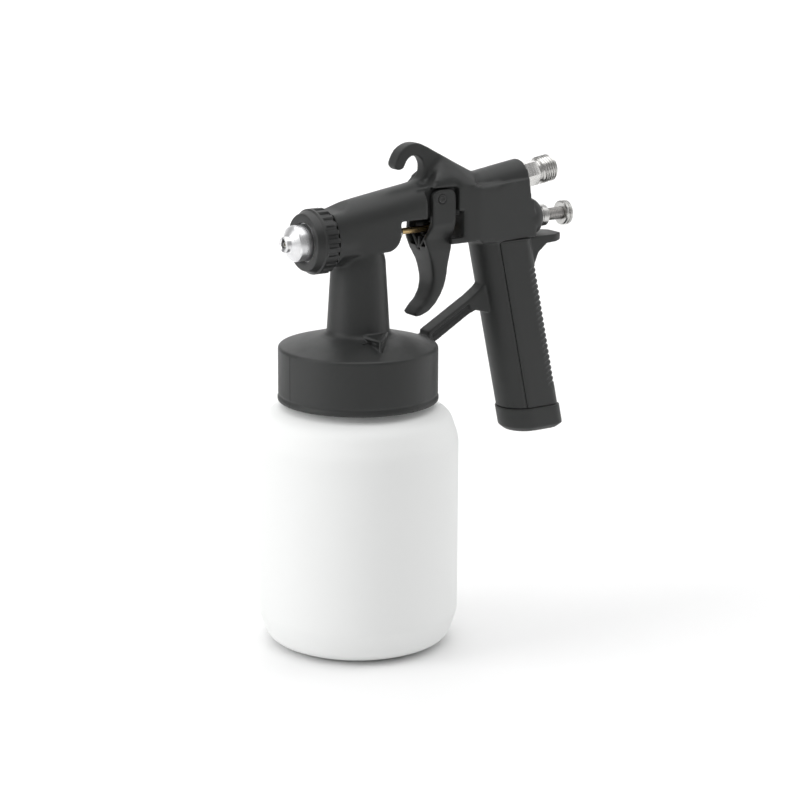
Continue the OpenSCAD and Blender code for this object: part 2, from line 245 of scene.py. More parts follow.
def cut_from(solid, *tools):
    made = object_of("blank", solid)
    for tool in tools:
        combine(made, tool, "DIFFERENCE")
    return taken_back(made)


def united(solid, *others):
    made = object_of("blank", solid)
    for other in others:
        combine(made, other, "UNION")
    return taken_back(made)


def taken_back(made):
    """The solid of an object, in millimetres again; the object goes."""
    bm = bmesh.new()
    bm.from_mesh(made.data)
    bmesh.ops.scale(bm, vec=(1 / MM, 1 / MM, 1 / MM), verts=bm.verts)
    mesh = made.data
    bpy.data.objects.remove(made)
    bpy.data.meshes.remove(mesh)
    return bm


def copy_of(*nodes):
    """The merged solids of some CAD nodes, in millimetres."""
    bm = bmesh.new()
    for node in nodes:
        bm.from_mesh(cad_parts[node].data)
    bmesh.ops.scale(bm, vec=(1 / MM, 1 / MM, 1 / MM), verts=bm.verts)
    bmesh.ops.remove_doubles(bm, verts=bm.verts, dist=0.001)
    return bm


def block(x, y, z):
    """A box between pairs of limits."""
    bm = bmesh.new()
    bmesh.ops.create_cube(bm, size=1)
    bmesh.ops.scale(bm, vec=(x[1] - x[0], y[1] - y[0], z[1] - z[0]), verts=bm.verts)
    bmesh.ops.translate(bm, vec=((x[0] + x[1]) / 2, (y[0] + y[1]) / 2, (z[0] + z[1]) / 2),
                        verts=bm.verts)
    return bm


def moulded(name, solid, voxel, rounds, softness=None, thin=1.0, soft_rounds=44):
    """Fuses overlapping solids into one skin with moulded, rounded edges."""
    made = object_of(name, solid)
    remesh = made.modifiers.new("fuse", "REMESH")
    remesh.mode = "VOXEL"
    remesh.voxel_size = voxel * MM
    apply_modifiers(made)
    smooth = made.modifiers.new("round", "SMOOTH")
    smooth.factor = 0.5
    smooth.iterations = rounds
    if softness:
        group = made.vertex_groups.new(name="soft")
        for v in made.data.vertices:
            weight = softness(v.co / MM)
            if weight > 0:
                group.add([v.index], weight, "REPLACE")
        extra = made.modifiers.new("soften", "SMOOTH")
        extra.factor = 0.5
        extra.iterations = soft_rounds
        extra.vertex_group = "soft"
    if thin < 1:
        fewer = made.modifiers.new("thin", "DECIMATE")
        fewer.ratio = thin
    apply_modifiers(made)
    made.vertex_groups.clear()
    return made


def piece(made, body, material, replaces, auto_smooth=None):
    """Finishes a piece: shading, material, body and the CAD nodes that it stands for."""
    made.data.materials.clear()
    made.data.materials.append(material)
    for polygon in made.data.polygons:
        polygon.use_smooth = True
        polygon.material_index = 0
    if auto_smooth:
        made.data.set_sharp_from_angle(angle=math.radians(auto_smooth))
    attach(made, body)
    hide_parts(*replaces)
    return made


# ---- Materials ----

class Shader:
    """A node tree that is built up one named socket at a time."""

    def __init__(self, name):
        self.material = bpy.data.materials.new(name)
        self.material.use_nodes = True
        self.tree = self.material.node_tree
        self.out = self.tree.nodes["Principled BSDF"]
        self.coords = self.add("ShaderNodeTexCoord").outputs["Object"]

    def add(self, kind, **settings):
        node = self.tree.nodes.new(kind)
        for key, value in settings.items():
            setattr(node, key, value)
        return node

    def link(self, source, target):
        self.tree.links.new(source, target)

    def noise(self, scale, detail=4, rough=0.6, stretch=None):
        """Noise over the object's own coordinates; stretch squeezes it along some axes."""
        node = self.add("ShaderNodeTexNoise")
        node.inputs["Scale"].default_value = scale
        node.inputs["Detail"].default_value = detail
        node.inputs["Roughness"].default_value = rough
        source = self.coords
        if stretch:
            mapping = self.add("ShaderNodeMapping")
            mapping.inputs["Scale"].default_value = stretch
            self.link(self.coords, mapping.inputs["Vector"])
            source = mapping.outputs["Vector"]
        self.link(source, node.inputs["Vector"])
        return node.outputs["Fac"]

    def ranged(self, source, from_low, from_high, to_low, to_high):
        node = self.add("ShaderNodeMapRange", clamp=True)
        self.link(source, node.inputs["Value"])
        for key, value in (("From Min", from_low), ("From Max", from_high), ("To Min", to_low),
                           ("To Max", to_high)):
            node.inputs[key].default_value = value
        return node.outputs["Result"]

    def math(self, operation, first, second):
        node = self.add("ShaderNodeMath", operation=operation)
        for socket, value in zip(node.inputs, (first, second)):
            if isinstance(value, (int, float)):
                socket.default_value = value
            else:
                self.link(value, socket)
        return node.outputs["Value"]

    def blend(self, share, first, second):
        """Mixes two colours, each a colour or a socket."""
        node = self.add("ShaderNodeMix", data_type="RGBA")
        self.link(share, node.inputs["Factor"])
        for socket, value in ((node.inputs[6], first), (node.inputs[7], second)):
            if isinstance(value, bpy.types.NodeSocket):
                self.link(value, socket)
            else:
                socket.default_value = (*value, 1)
        return node.outputs[2]

    def edges(self, low, high):
        """One where the surface bends outwards sharply, zero elsewhere."""
        return self.ranged(self.add("ShaderNodeNewGeometry").outputs["Pointiness"], low, high, 0, 1)

    def bump(self, *layers):
        """Stacks (height, strength, distance in millimetres) bumps."""
        normal = None
        for height, strength, distance in layers:
            node = self.add("ShaderNodeBump")
            node.inputs["Strength"].default_value = strength
            node.inputs["Distance"].default_value = distance * MM
            self.link(height, node.inputs["Height"])
            if normal:
                self.link(normal, node.inputs["Normal"])
            normal = node.outputs["Normal"]
        self.link(normal, self.out.inputs["Normal"])

    def set(self, **values):
        for key, value in values.items():
            socket = self.out.inputs[key.replace("_", " ")]
            if isinstance(value, bpy.types.NodeSocket):
                self.link(value, socket)
            elif isinstance(value, (tuple, list)) and len(value) == 3 and socket.type == "RGBA":
                socket.default_value = (*value, 1)
            else:
                socket.default_value = value


def shade(colour, factor):
    return tuple(min(1.0, c * factor) for c in colour)


def moulded_plastic(name, colour, rough=0.5, edge_highlight_strength=0.25, grain=0.035):
    """Spark-eroded engineering plastic: fine grain, cloudy tone, and a painted highlight on the
    edges, broken up by noise.
    """
    if name in bpy.data.materials:
        return bpy.data.materials[name]
    s = Shader(name)
    cloud = s.noise(55, 5, 0.62)
    speck = s.noise(1600, 3, 0.55)
    tone = s.blend(s.ranged(cloud, 0.35, 0.65, 0, 1), shade(colour, 0.92), shade(colour, 1.09))
    tone = s.blend(s.ranged(speck, 0.45, 0.75, 0, 0.3), tone, shade(colour, 1.35))
    # Painted highlight: the convex edges are lightened in patches, standing in for light caught on
    # them.
    highlight_patches = s.ranged(s.noise(240, 6, 0.7), 0.42, 0.62, 0, edge_highlight_strength)
    painted_edge_highlight = s.math("MULTIPLY", s.edges(0.515, 0.56), highlight_patches)
    tone = s.blend(painted_edge_highlight, tone, shade(colour, 1.9))
    s.set(Base_Color=tone, Roughness=s.ranged(cloud, 0.3, 0.7, rough - 0.05, rough + 0.06),
          IOR=1.5)
    s.bump((s.noise(2600, 2, 0.5), 0.35, grain), (s.noise(420, 3, 0.5), 0.2, grain))
    return s.material


def turned_metal(name, colour, rough=0.25, marks=0.25, axis=0, tarnish=0.85):
    """Machined metal: tool marks round the axis, faint tarnish and a painted highlight on the
    edges.
    """
    if name in bpy.data.materials:
        return bpy.data.materials[name]
    s = Shader(name)
    stretch = [60, 60, 60]
    stretch[axis] = 2600
    lines = s.noise(1, 3, 0.6, stretch)
    stain = s.noise(160, 5, 0.65)
    tone = s.blend(s.ranged(stain, 0.38, 0.68, 0, 1), colour, shade(colour, tarnish))
    tone = s.blend(s.ranged(lines, 0.4, 0.65, 0, 0.35), tone, shade(colour, 0.82))
    # Painted highlight: the convex edges are lightened in the colour.
    tone = s.blend(s.math("MULTIPLY", s.edges(0.52, 0.6), 0.6), tone, shade(colour, 1.25))
    roughness = s.math("ADD", s.ranged(lines, 0.35, 0.65, rough - 0.05, rough + 0.07),
                       s.ranged(stain, 0.4, 0.7, 0, 0.1))
    s.set(Base_Color=tone, Metallic=1.0, Roughness=roughness)
    s.bump((lines, marks, 0.02), (s.noise(900, 2, 0.5), 0.06, 0.02))
    return s.material


def soft_seal(name, colour, rough=0.55):
    """Rubber or soft plastic: dull, slightly mottled, with a fine skin."""
    if name in bpy.data.materials:
        return bpy.data.materials[name]
    s = Shader(name)
    mottle = s.noise(380, 5, 0.65)
    tone = s.blend(s.ranged(mottle, 0.35, 0.7, 0, 1), shade(colour, 0.93), shade(colour, 1.05))
    s.set(Base_Color=tone, Roughness=s.ranged(mottle, 0.3, 0.7, rough - 0.08, rough + 0.08),
          Subsurface_Weight=0.1, Subsurface_Radius=(0.001, 0.001, 0.001))
    s.bump((s.noise(2200, 2, 0.5), 0.25, 0.03))
    return s.material


def milky_plastic(name, colour, depth=6.0, rough=0.36):
    """Blow-moulded natural polyethylene: light passes into it and scatters."""
    if name in bpy.data.materials:
        return bpy.data.materials[name]
    s = Shader(name)
    cloud = s.noise(26, 4, 0.55)
    drawn = s.noise(1, 3, 0.5, (320, 320, 26))
    tone = s.blend(s.ranged(cloud, 0.35, 0.65, 0, 1), shade(colour, 0.985), shade(colour, 1.01))
    scuff = s.ranged(s.noise(700, 6, 0.72), 0.56, 0.72, 0, 0.12)
    s.set(Base_Color=tone, IOR=1.51, Subsurface_Weight=0.65, Subsurface_Scale=depth * MM,
          Subsurface_Radius=(1.0, 0.98, 0.94),
          Roughness=s.math("ADD", s.ranged(drawn, 0.35, 0.65, rough - 0.05, rough + 0.05), scuff))
    s.bump((drawn, 0.12, 0.12), (s.noise(1500, 3, 0.6), 0.12, 0.03))
    return s.material


# ---- Settings ----

class SPRAYGUN_PG_sizes(bpy.types.PropertyGroup):
    skin_voxel: FloatProperty(
        name="Skin fineness",
        description="Grid size, in millimetres, that the moulding is fused on",
        default=0.55, min=0.4, max=1.5)
    ring_ribs: IntProperty(
        name="Ring ribs", description="Number of grip flutes round the retaining ring",
        default=22, min=12, max=40)
    grip_ribs: IntProperty(
        name="Grip ribs", description="Number of grip ribs down the rear of the handle",
        default=21, min=5, max=22)
    grip_depth: FloatProperty(
        name="Grip depth", description="Depth of the handle's grip grooves in millimetres",
        default=0.85, min=0.2, max=1.2)
    stud_pitch: FloatProperty(
        name="Stud pitch", description="Pitch of the adjuster's thread in millimetres",
        default=1.0, min=0.5, max=1.5)
    hose_pitch: FloatProperty(
        name="Hose thread pitch",
        description="Pitch of the quarter-inch pipe thread in millimetres",
        default=1.337, min=1.0, max=1.8)


class SPRAYGUN_PG_colours(bpy.types.PropertyGroup):
    moulding: FloatVectorProperty(
        name="Moulding", description="Colour of the gun's moulded body, linear",
        subtype="COLOR", default=(0.0175, 0.0187, 0.0181), min=0, max=1)
    trigger: FloatVectorProperty(
        name="Trigger", description="Colour of the trigger, linear",
        subtype="COLOR", default=(0.0175, 0.0187, 0.0181), min=0, max=1)
    ring: FloatVectorProperty(
        name="Ring", description="Colour of the retaining ring, linear",
        subtype="COLOR", default=(0.0165, 0.0172, 0.0169), min=0, max=1)
    cup: FloatVectorProperty(
        name="Cup", description="Colour of the cup's milky plastic, linear",
        subtype="COLOR", default=(0.48, 0.486, 0.483), min=0, max=1)
    nickel: FloatVectorProperty(
        name="Nickel", description="Colour of the plated fittings, linear",
        subtype="COLOR", default=(0.64, 0.635, 0.62), min=0, max=1)
    aluminium: FloatVectorProperty(
        name="Aluminium", description="Colour of the air cap, linear",
        subtype="COLOR", default=(0.86, 0.86, 0.87), min=0, max=1)
    brass: FloatVectorProperty(
        name="Brass", description="Colour of the needle, linear",
        subtype="COLOR", default=(0.78, 0.56, 0.27), min=0, max=1)


class SPRAYGUN_PG_studio(bpy.types.PropertyGroup):
    key_power: FloatProperty(
        name="Key light", description="Power of each side light in watts",
        default=6, min=0, max=500)
    world_strength: FloatProperty(
        name="Surroundings", description="Brightness of the white surroundings",
        default=0.36, min=0, max=5)
    overhead_power: FloatProperty(
        name="Overhead light", description="Power of the wide light above in watts",
        default=46, min=0, max=500)


def sizes():
    return bpy.context.scene.spraygun_sizes


def colours():
    return bpy.context.scene.spraygun_colours


def moulding():
    return moulded_plastic("moulded_black", tuple(colours().moulding))


def nickel():
    return turned_metal("bright_nickel", tuple(colours().nickel), rough=0.2)


def brass():
    return turned_metal("turned_brass", tuple(colours().brass), rough=0.28, tarnish=0.8)


def ivory():
    return soft_seal("ivory_seal", (0.80, 0.77, 0.68))


class PieceOperator:
    """What every operator here shares."""
    bl_options = {"REGISTER", "UNDO"}


# ---- Gun moulding ----

def ramp(value, low, high):
    """Zero below one limit, one above the other."""
    return min(1.0, max(0.0, (value - low) / (high - low)))


def shell_softness(at):
    """How much more than elsewhere the moulding's edges are rounded."""
    # hook
    if at.x < 38 and at.z > 217:
        return 0.15 * ramp(at.z, 217, 220)
    # root of the hook, where it spreads over the barrel and the rear body
    if at.z > 213.5 and at.x < 70:
        below_ridge = 1 - 0.7 * ramp(at.z, 222, 228)
        return ramp(at.z, 213.5, 216) * ramp(-at.x, -70, -64) * below_ridge
    # barrel's round front
    if at.x < 0 and at.z > 181:
        return 0.4 * ramp(at.x, -18, -14) * ramp(-at.x, 0, 4)
    # front of the rear body
    if 50 < at.x < 76 and at.z > 188:
        return 0.5 * ramp(at.x, 50, 54) * ramp(-at.x, -76, -72) * ramp(at.z, 188, 191)
    # corner where the front of the handle meets the body
    if 58 < at.x < 70 and 178 < at.z < 192:
        return 0.3
    return 0.0


def lid_groove(made):
    """Sinks the line round the lid's lower edge."""
    middle = box("cup_lid")[0].z + 2.7
    half = 0.85
    depth = 0.5
    skirt_inside = 36
    skirt_outside = 38
    for v in made.data.vertices:
        away = abs(v.co.z / MM - middle)
        radius = math.hypot(v.co.x, v.co.y) / MM
        if away < half and skirt_inside < radius < skirt_outside:
            v.co.xy *= 1 - depth * (1 - (away / half) ** 2) / radius


class SPRAYGUN_OT_shell(PieceOperator, bpy.types.Operator):
    """Makes the black moulding: barrel, hook, rear body, stem, lid, handle front and brace"""
    bl_idname = "spraygun.shell"
    bl_label = "Gun moulding"

    def execute(self, context):
        nodes = ("gun_body", "cup_lid", "handle_front", "handle_brace")
        made = moulded("gun_shell", copy_of(*nodes), sizes().skin_voxel, rounds=4,
                       softness=shell_softness, thin=0.62, soft_rounds=120)
        lid_groove(made)
        self.add_lid_details(made)
        piece(made, "gun", moulding(), nodes)
        return {"FINISHED"}

    def add_lid_details(self, made):
        """Adds the hood over the lid's vent, with its slot, and the parting line down the lid."""
        hood_bottom = 144.6
        hood_height = 5.4
        line_half = 0.22
        line_depth = 0.62
        line_top = 24.6
        low = box("cup_lid")[0]
        hood = bmesh.new()
        plan = ((-6.3, -12), (-6.3, -27.6), (-5.3, -28.4), (8, -13))
        hood.faces.new([hood.verts.new((x, y, hood_bottom)) for x, y in plan])
        raised = bmesh.ops.extrude_face_region(hood, geom=hood.faces[:])
        bmesh.ops.translate(hood, vec=(0, 0, hood_height),
                            verts=[g for g in raised["geom"] if isinstance(g, bmesh.types.BMVert)])
        settle(hood)
        bmesh.ops.bevel(hood, geom=hood.edges[:], offset=0.35, affect="EDGES", segments=2,
                        profile=0.5, material=-1)
        slot = block((-9, -4.2), (-26.6, -17), (146.6, 148.6))
        parting_line = block((low.x - 1, low.x + line_depth), (-line_half, line_half),
                             (low.z - 1, low.z + line_top))
        combine(made, hood, "UNION")
        combine(made, slot, "DIFFERENCE")
        combine(made, parting_line, "DIFFERENCE")


# ---- Handle ----

def grip_grooves(at):
    """Depth of the grip's grooves at a place on the handle, in millimetres."""
    first = 23.0
    pitch = 2.8
    offset = at - HANDLE_TOP
    down = offset.dot(HANDLE_DOWN)
    rear = offset.dot(HANDLE_REAR)
    if not first - pitch < down < first + sizes().grip_ribs * pitch:
        return 0.0
    near = min(1.0, max(0.0, (rear - (HANDLE_DEPTH - 6.5)) / 2.5))
    phase = ((down - first) / pitch) % 1
    wave = 0.5 + 0.5 * math.cos(2 * math.pi * (phase - 0.2))
    return sizes().grip_depth * near * wave ** 1.6


class SPRAYGUN_OT_insert(PieceOperator, bpy.types.Operator):
    """Makes the handle's rear half with its grip ribs and thumb spur"""
    bl_idname = "spraygun.insert"
    bl_label = "Handle insert"

    def execute(self, context):
        made = moulded("handle_insert_moulding", copy_of("handle_insert"), 0.45, 4, thin=0.9)
        normals = [v.normal.copy() for v in made.data.vertices]
        for v, normal in zip(made.data.vertices, normals):
            depth = grip_grooves(v.co / MM)
            if depth > 0:
                outward = HANDLE_REAR * max(0.0, normal.dot(HANDLE_REAR)) + Vector((0, normal.y, 0))
                v.co -= outward * depth * MM
        piece(made, "gun", moulding(), ["handle_insert"])
        return {"FINISHED"}


class SPRAYGUN_OT_end_cap(PieceOperator, bpy.types.Operator):
    """Makes the cap that closes the handle's lower end"""
    bl_idname = "spraygun.end_cap"
    bl_label = "Handle end cap"

    def execute(self, context):
        made = moulded("handle_end_cap_moulding", copy_of("handle_end_cap"), 0.4, 5)
        piece(made, "gun", moulding(), ["handle_end_cap"])
        return {"FINISHED"}


# ---- Spray head ----

class SPRAYGUN_OT_ring(PieceOperator, bpy.types.Operator):
    """Makes the fluted ring that holds the air cap on"""
    bl_idname = "spraygun.ring"
    bl_label = "Retaining ring"

    def execute(self, context):
        front, rear, radius = along_needle("retaining_ring")
        mouth = 8.9
        bore = 12.5
        bm = lathe([(front + 1.4, mouth, 0.2), (front + 0.3, mouth + 0.2, 0.3),
                    (front, mouth + 1.2, 0.4), (front, radius - 2.0, 0.8),
                    (front + 3.4, radius - 0.75, 0.5), (front + 4.0, radius, 0.3),
                    (front + 4.9, radius, 0), (front + 5.1, radius, 0), (rear - 1.0, radius, 0.4),
                    (rear, radius - 1.0, 0.4), (rear, bore, 0.3), (front + 1.7, bore, 0.2),
                    (front + 1.7, mouth, 0.1)], steps=sizes().ring_ribs * 20)
        flute(bm, ON_NEEDLE, sizes().ring_ribs, 1.0, 0.56, front + 5.0, rear + 0.1, radius - 1.1)
        material = moulded_plastic("ring_black", tuple(colours().ring), rough=0.42)
        piece(object_of("retaining_ring_moulding", bm), "ring", material,
              ["retaining_ring"], 38)
        return {"FINISHED"}


class SPRAYGUN_OT_air_cap(PieceOperator, bpy.types.Operator):
    """Makes the turned air cap with its boss and fan slot"""
    bl_idname = "spraygun.air_cap"
    bl_label = "Air cap"

    def execute(self, context):
        front, rear, flange = along_needle("air_cap")
        shoulder = -35.3
        bm = lathe([(front + 1.7, 2.1, 0.1), (front + 0.2, 2.1, 0.15), (front, 2.5, 0.1),
                    (front, 3.45, 0.25), (front + 0.35, 3.7, 0.2), (front + 2.1, 3.7, 0.25),
                    (front + 2.25, 4.4, 0.2), (shoulder - 0.5, 7.7, 0.3),
                    (shoulder + 0.3, 8.3, 0.3),
                    (rear - 1.7, 8.3, 0.25), (rear - 1.7, flange, 0.2), (rear, flange, 0.2),
                    (rear, 6.6, 0.2), (shoulder + 0.2, 6.6, 0.3), (-37.2, 2.6, 0.2),
                    (front + 2.6, 2.1, 0.1)])
        slot = block((front - 1, front + 1.5), (-1.15, 1.15), (NEEDLE_Z - 3.1, NEEDLE_Z + 3.1))
        made = object_of("air_cap_turned", cut_from(bm, slot))
        material = turned_metal("brushed_aluminium", tuple(colours().aluminium), rough=0.3,
                                marks=0.12)
        piece(made, "cap", material, ["air_cap"], 30)
        return {"FINISHED"}


class SPRAYGUN_OT_nozzle(PieceOperator, bpy.types.Operator):
    """Makes the fluid nozzle and its seal"""
    bl_idname = "spraygun.nozzle"
    bl_label = "Fluid nozzle and seal"

    def execute(self, context):
        front, rear, across = along_needle("fluid_nozzle")
        tip = lathe([(front + 1.5, 0.75, 0.1), (front, 0.75, 0.1), (front, 1.2, 0.25),
                     (front + 2.0, 1.6, 0.2), (-34.6, 3.2, 0.3), (-27.2, 3.2, 0.2), (-27.2, 2.0, 0),
                     (-34.7, 2.0, 0.2), (front + 1.6, 0.9, 0)])
        nut = cut_from(prism(6, 5.1, -27.5, 3.5), lathe([(-28, 0), (-28, 2), (-23, 2), (-23, 0)]))
        shank = threaded(3.4, 0.4, 0.8, -24.2, 11.2)
        shank = cut_from(shank, lathe([(-25, 0), (-25, 2), (-12, 2), (-12, 0)]))
        piece(object_of("fluid_nozzle_turned", join(tip, nut, shank)), "gun", nickel(),
              ["fluid_nozzle"], 30)
        start, end, radius = along_needle("nozzle_seal")
        seal = lathe([(start, 3.4, 0.2), (start, radius, 0.25), (end, radius, 0.25),
                      (end, 3.4, 0.2)])
        piece(object_of("nozzle_seal_washer", seal), "gun",
              ivory(), ["nozzle_seal"], 40)
        return {"FINISHED"}


# ---- Needle and adjuster ----

class SPRAYGUN_OT_needle(PieceOperator, bpy.types.Operator):
    """Makes the needle and the collar that the trigger pulls on"""
    bl_idname = "spraygun.needle"
    bl_label = "Needle and collar"

    def execute(self, context):
        tip, tail, head = along_needle("needle")
        radius = 1.5
        bm = lathe([(tip, 0), (tip, 0.3, 0.1), (tip + 2.6, radius, 1.0), (tail - 3, radius, 0.2),
                    (tail - 3, head, 0.3), (tail, head, 0.4), (tail, 0)], steps=64)
        piece(object_of("needle_turned", bm), "needle", brass(), ["needle"], 30)
        front, rear, rim = along_needle("needle_collar")
        collar = lathe([(front, radius, 0.1), (front, rim - 0.3, 0.3), (front + 1.6, rim, 0.3),
                        (front + 1.6, rim - 0.7, 0.2), (rear - 1.6, rim - 0.7, 0.2),
                        (rear - 1.6, rim, 0.2), (rear, rim - 0.2, 0.4), (rear, radius, 0.1)],
                       steps=64)
        piece(object_of("needle_collar_turned", collar), "needle", nickel(),
              ["needle_collar"], 30)
        return {"FINISHED"}


class SPRAYGUN_OT_packing(PieceOperator, bpy.types.Operator):
    """Makes the needle's packing and the nut that presses on it"""
    bl_idname = "spraygun.packing"
    bl_label = "Packing and nut"

    def execute(self, context):
        front, rear, rim = along_needle("packing_nut")
        face = 16.5
        bore = 1.55
        shank = threaded(3.35, 0.35, 0.75, front, face - front)
        head = prism(6, rim, face, rear - face, bevel=0.5)
        nose = lathe([(rear - 0.4, 0), (rear - 0.4, 2.9, 0.1), (rear, 2.6, 0.2), (rear, 0)])
        hole = lathe([(front - 1, 0), (front - 1, bore), (rear - 0.6, bore), (rear + 1, 2.6),
                      (rear + 1, 0)], steps=48)
        bm = cut_from(united(shank, head, nose), hole)
        piece(object_of("packing_nut_turned", bm), "gun", nickel(), ["packing_nut"], 30)
        start, end, outer = along_needle("needle_packing")
        packing = lathe([(start, bore, 0.1), (start, outer, 0.6), (end, outer, 0.3),
                         (end, bore, 0.1)], steps=48)
        piece(object_of("needle_packing_washer", packing), "gun",
              ivory(), ["needle_packing"], 40)
        return {"FINISHED"}


class SPRAYGUN_OT_spring(PieceOperator, bpy.types.Operator):
    """Makes the coil spring that closes the needle"""
    bl_idname = "spraygun.spring"
    bl_label = "Needle spring"

    def execute(self, context):
        front, rear, outer = along_needle("needle_spring")
        wire = 0.45
        turns = 7
        steps = 40
        bm = bmesh.new()
        ring = bmesh.ops.create_circle(bm, segments=12, radius=wire,
                                       matrix=Matrix.Translation((outer - wire, 0, front + wire))
                                       @ Matrix.Rotation(math.radians(90), 4, "X"))
        edges = list({e for v in ring["verts"] for e in v.link_edges})
        climb = (rear - front - 2 * wire) / (turns * steps)
        bmesh.ops.spin(bm, geom=ring["verts"] + edges, cent=(0, 0, 0), axis=(0, 0, 1),
                       angle=2 * math.pi * turns, steps=turns * steps, dvec=(0, 0, climb))
        bmesh.ops.holes_fill(bm, edges=[e for e in bm.edges if e.is_boundary], sides=0)
        made = object_of("needle_spring_coil", settle(bm, ON_NEEDLE))
        material = turned_metal("spring_wire", (0.55, 0.55, 0.57), rough=0.3)
        piece(made, "gun", material, ["needle_spring"], 40)
        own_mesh(made)
        return {"FINISHED"}


class SPRAYGUN_OT_adjuster(PieceOperator, bpy.types.Operator):
    """Makes the paint adjuster: its bush, threaded stud and knob"""
    bl_idname = "spraygun.adjuster"
    bl_label = "Adjuster"

    def execute(self, context):
        front, rear, rim = along_needle("adjuster_bush")
        body_end = 102.4
        bore = 3.05
        bush = lathe([(front, bore, 0.2), (front, rim, 0.3), (body_end + 0.3, rim, 0.1),
                      (body_end + 0.6, rim - 0.35, 0.1), (body_end + 0.9, rim, 0.2),
                      (rear - 0.7, rim, 0.3), (rear, rim - 0.8, 0.3), (rear, bore + 0.3, 0.2),
                      (rear - 0.4, bore, 0.1)])
        piece(object_of("adjuster_bush_turned", bush), "gun", nickel(),
              ["adjuster_bush"], 30)
        front, rear, radius = along_needle("adjuster_stud")
        stud = threaded(radius, 0.42, sizes().stud_pitch, front, rear - front)
        steel = turned_metal("stud_steel", (0.42, 0.41, 0.39), rough=0.3, tarnish=0.7)
        piece(object_of("adjuster_stud_threaded", stud), "stud", steel,
              ["adjuster_stud"], 30)
        front, rear, rim = along_needle("adjuster_knob")
        knob = lathe([(front, radius + 0.05, 0.1), (front, rim - 0.7, 0.3), (front + 0.5, rim, 0.2),
                      (front + 1.2, rim, 0.2), (front + 1.45, rim - 0.8, 0.2),
                      (front + 2.0, rim - 0.8, 0.2), (front + 2.25, rim, 0.2),
                      (rear - 0.6, rim, 0.25),
                      (rear, rim - 0.7, 0.3), (rear, 1.6, 0.2), (rear - 0.5, 0.6, 0.3),
                      (rear - 0.5, 0), (front + 1.2, 0), (front + 1.2, radius + 0.05, 0.1)],
                     steps=240)
        flute(knob, ON_NEEDLE, 60, 0.16, 0.7, front + 0.45, rear - 0.4, rim - 0.3)
        piece(object_of("adjuster_knob_knurled", knob), "knob", nickel(),
              ["adjuster_knob"], 30)
        return {"FINISHED"}


# ---- Trigger ----

def blade_softness(at):
    """The trigger's finger blade is rounded much more than its cheeks, and its thin tip less."""
    cheeks = 0.1 * ramp(-at.z, -205, -195)
    tip = 0.35 + 0.65 * ramp(at.z, 154, 160)
    return max(cheeks, ramp(-at.z, -184, -176) * tip)


class SPRAYGUN_OT_trigger(PieceOperator, bpy.types.Operator):
    """Makes the trigger with its two cheeks and curved finger blade"""
    bl_idname = "spraygun.trigger"
    bl_label = "Trigger"

    def execute(self, context):
        made = moulded("trigger_moulding", copy_of("trigger"), 0.4, rounds=5,
                       softness=blade_softness, thin=0.9, soft_rounds=130)
        self.add_web(made)
        material = moulded_plastic("trigger_black", tuple(colours().trigger), rough=0.47)
        piece(made, "trigger", material, ["trigger"])
        return {"FINISHED"}

    def add_web(self, made):
        """Adds the three ribs of the web under the needle's slot."""
        ribs = (((-0.6, 184.6), (-5.9, 191.6)), ((0, 184.8), (0, 190.2)),
                ((0.6, 184.6), (5.9, 191.6)))
        rib_half = 0.75
        front = 33.6
        rear = 36.4
        for foot, head in ribs:
            run = Vector(head) - Vector(foot)
            rib = block((front, rear), (-rib_half, rib_half), (0, run.length))
            bmesh.ops.bevel(rib, geom=rib.edges[:], offset=0.3, affect="EDGES", segments=2,
                            profile=0.5, material=-1)
            lean = Matrix.Rotation(math.atan2(-run.x, run.y), 4, "X")
            bmesh.ops.transform(rib, verts=rib.verts,
                                matrix=Matrix.Translation((0, foot[0], foot[1])) @ lean)
            combine(made, rib, "UNION")


class SPRAYGUN_OT_pins(PieceOperator, bpy.types.Operator):
    """Makes the two pivot pins of the trigger"""
    bl_idname = "spraygun.pins"
    bl_label = "Trigger pins"

    def execute(self, context):
        low, high = box("trigger_pins")
        centre = (low + high) / 2
        radius = (high.z - low.z) / 2
        root = 3.5
        parts = []
        for side in (-1, 1):
            turn = Matrix.Rotation(-side * math.radians(90), 4, "X")
            place = Matrix.Translation((centre.x, 0, centre.z)) @ turn
            parts.append(lathe([(root, 0), (root, radius, 0.2), (high.y - 0.1, radius, 0.45),
                                (high.y, 1.1, 0.15), (high.y - 0.35, 0.85, 0.15),
                                (high.y - 0.35, 0)], place, 48))
        material = moulded_plastic("pin_grey", (0.02, 0.0205, 0.02), rough=0.4)
        piece(object_of("trigger_pin_pair", join(*parts)), "gun", material,
              ["trigger_pins"], 40)
        return {"FINISHED"}


# ---- Air inlet ----

class SPRAYGUN_OT_inlet(PieceOperator, bpy.types.Operator):
    """Makes the threaded hose fitting and its washer"""
    bl_idname = "spraygun.inlet"
    bl_label = "Air inlet"

    def execute(self, context):
        thread = 6.58
        thread_start = 10.4
        length = 8.2
        shank = lathe([(-10, 0), (-10, 5, 0.4), (1.2, 5, 0), (1.2, 0)], ON_INLET)
        nut = prism(6, 6.6, 1, 7.6, ON_INLET, 0.45)
        neck = lathe([(8.4, 0), (8.4, 5.9, 0.2), (9.2, 5.4, 0.3), (10.2, 5.4, 0.2),
                      (10.8, 6.0, 0.2), (10.8, 0)], ON_INLET)
        rod = threaded(thread, 0.62, sizes().hose_pitch, thread_start, length, ON_INLET, 96)
        hole = lathe([(-11, 0), (-11, 3), (17.2, 3), (18.7, 4.3), (20, 4.4), (20, 0)], ON_INLET)
        bm = cut_from(united(shank, nut, neck, rod), hole)
        piece(object_of("air_inlet_threaded", bm), "gun", nickel(), ["air_inlet"], 30)
        washer = lathe([(0.02, 5.05, 0.1), (0.02, 6.35, 0.3), (0.98, 6.35, 0.3), (0.98, 5.05, 0.1)],
                       ON_INLET)
        piece(object_of("inlet_seal_washer", washer), "gun",
              ivory(), ["inlet_seal"], 40)
        return {"FINISHED"}


# ---- Siphon and cup ----

